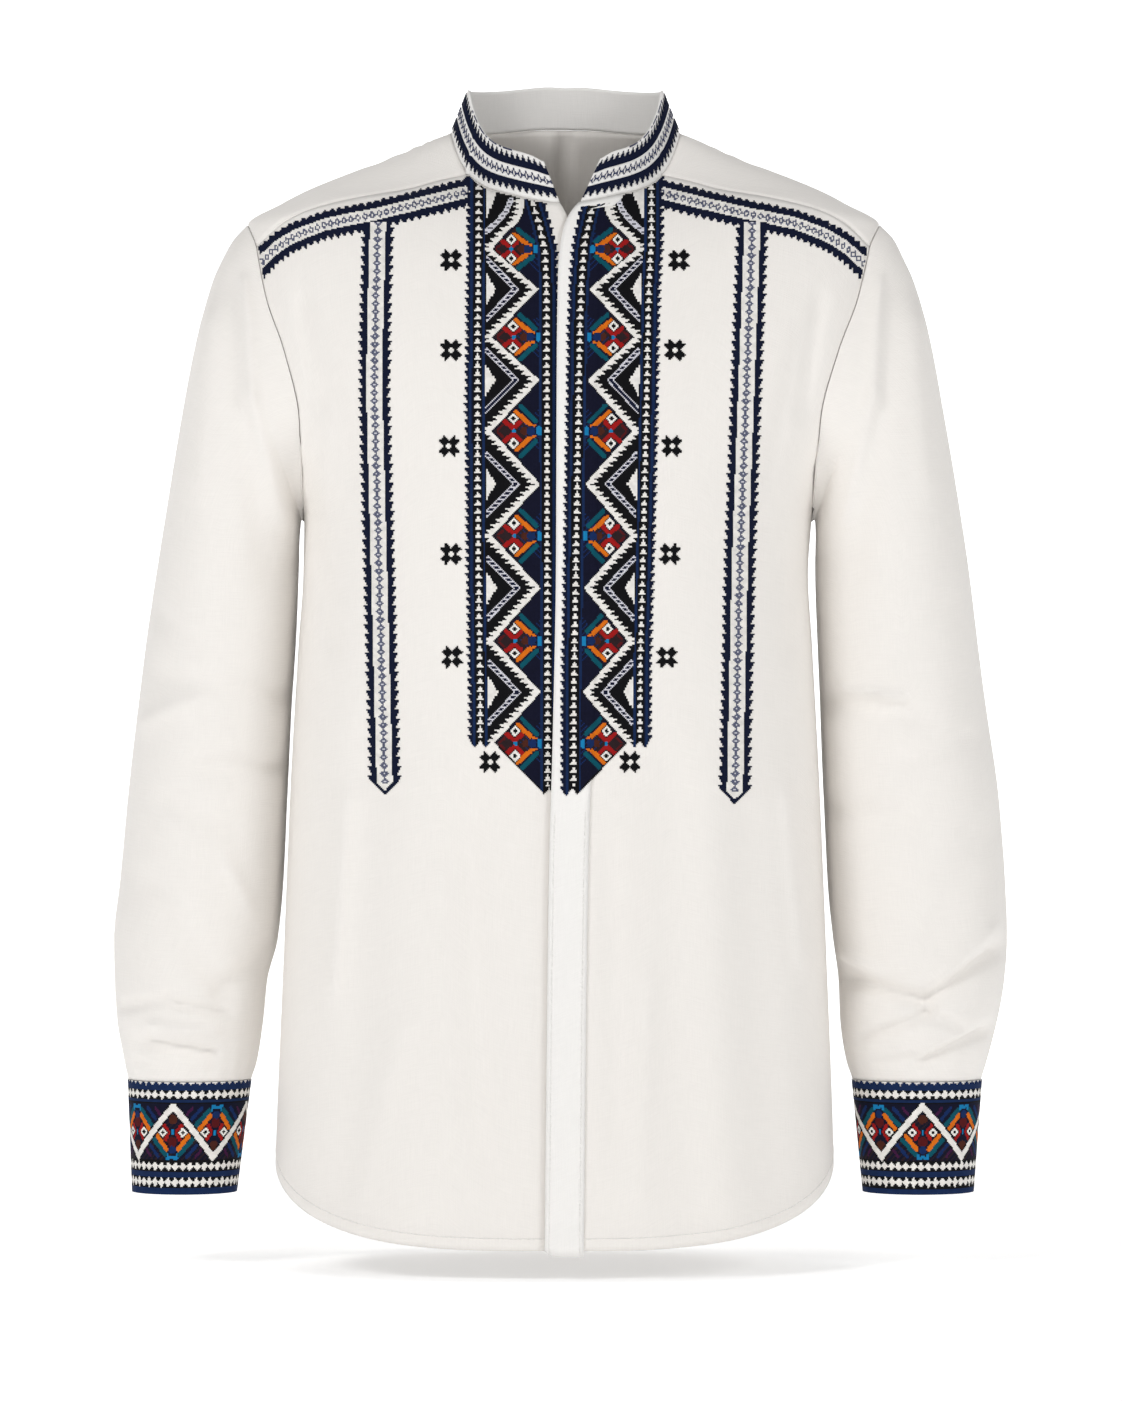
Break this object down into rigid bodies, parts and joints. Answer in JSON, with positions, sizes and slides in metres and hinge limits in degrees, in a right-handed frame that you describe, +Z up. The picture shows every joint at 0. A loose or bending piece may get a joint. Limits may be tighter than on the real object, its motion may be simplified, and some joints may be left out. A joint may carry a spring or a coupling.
{
  "type": "vyshyvanka shirt (embroidered linen folk shirt)",
  "caption": "Long-sleeved linen folk shirt with a stand collar, front placket, banded cuffs and a curved hem, hollow and filled out as it hangs when worn.",
  "frame": {"origin": "base of the neck, midway between the shoulders, where the worn shirt rests", "axes": "+X to the wearer's left, +Y to the back (the front faces -Y), +Z up to the collar"},
  "size_m": [0.6352, 0.2405, 0.8271],
  "materials": {
    "linen": "matt plain-weave linen, bleached off-white",
    "linen_underlap": "matt plain-weave linen, bleached off-white",
    "linen_back": "matt plain-weave linen, bleached off-white",
    "linen_sleeve": "matt plain-weave linen, bleached off-white",
    "linen_placket": "matt plain-weave linen, pressed smooth",
    "embroidered_collar": "linen covered with dark counted-thread embroidery",
    "embroidered_cuff": "linen covered with dark counted-thread embroidery"
  },
  "bodies": {
    "root": {"back": "linen_back", "front_left": "linen", "front_right": "linen_underlap", "placket": "linen_placket", "collar": "embroidered_collar", "sleeve_left": "linen_sleeve", "sleeve_right": "linen_sleeve", "cuff_left": "embroidered_cuff", "cuff_right": "embroidered_cuff"}
  },
  "joints": []
}
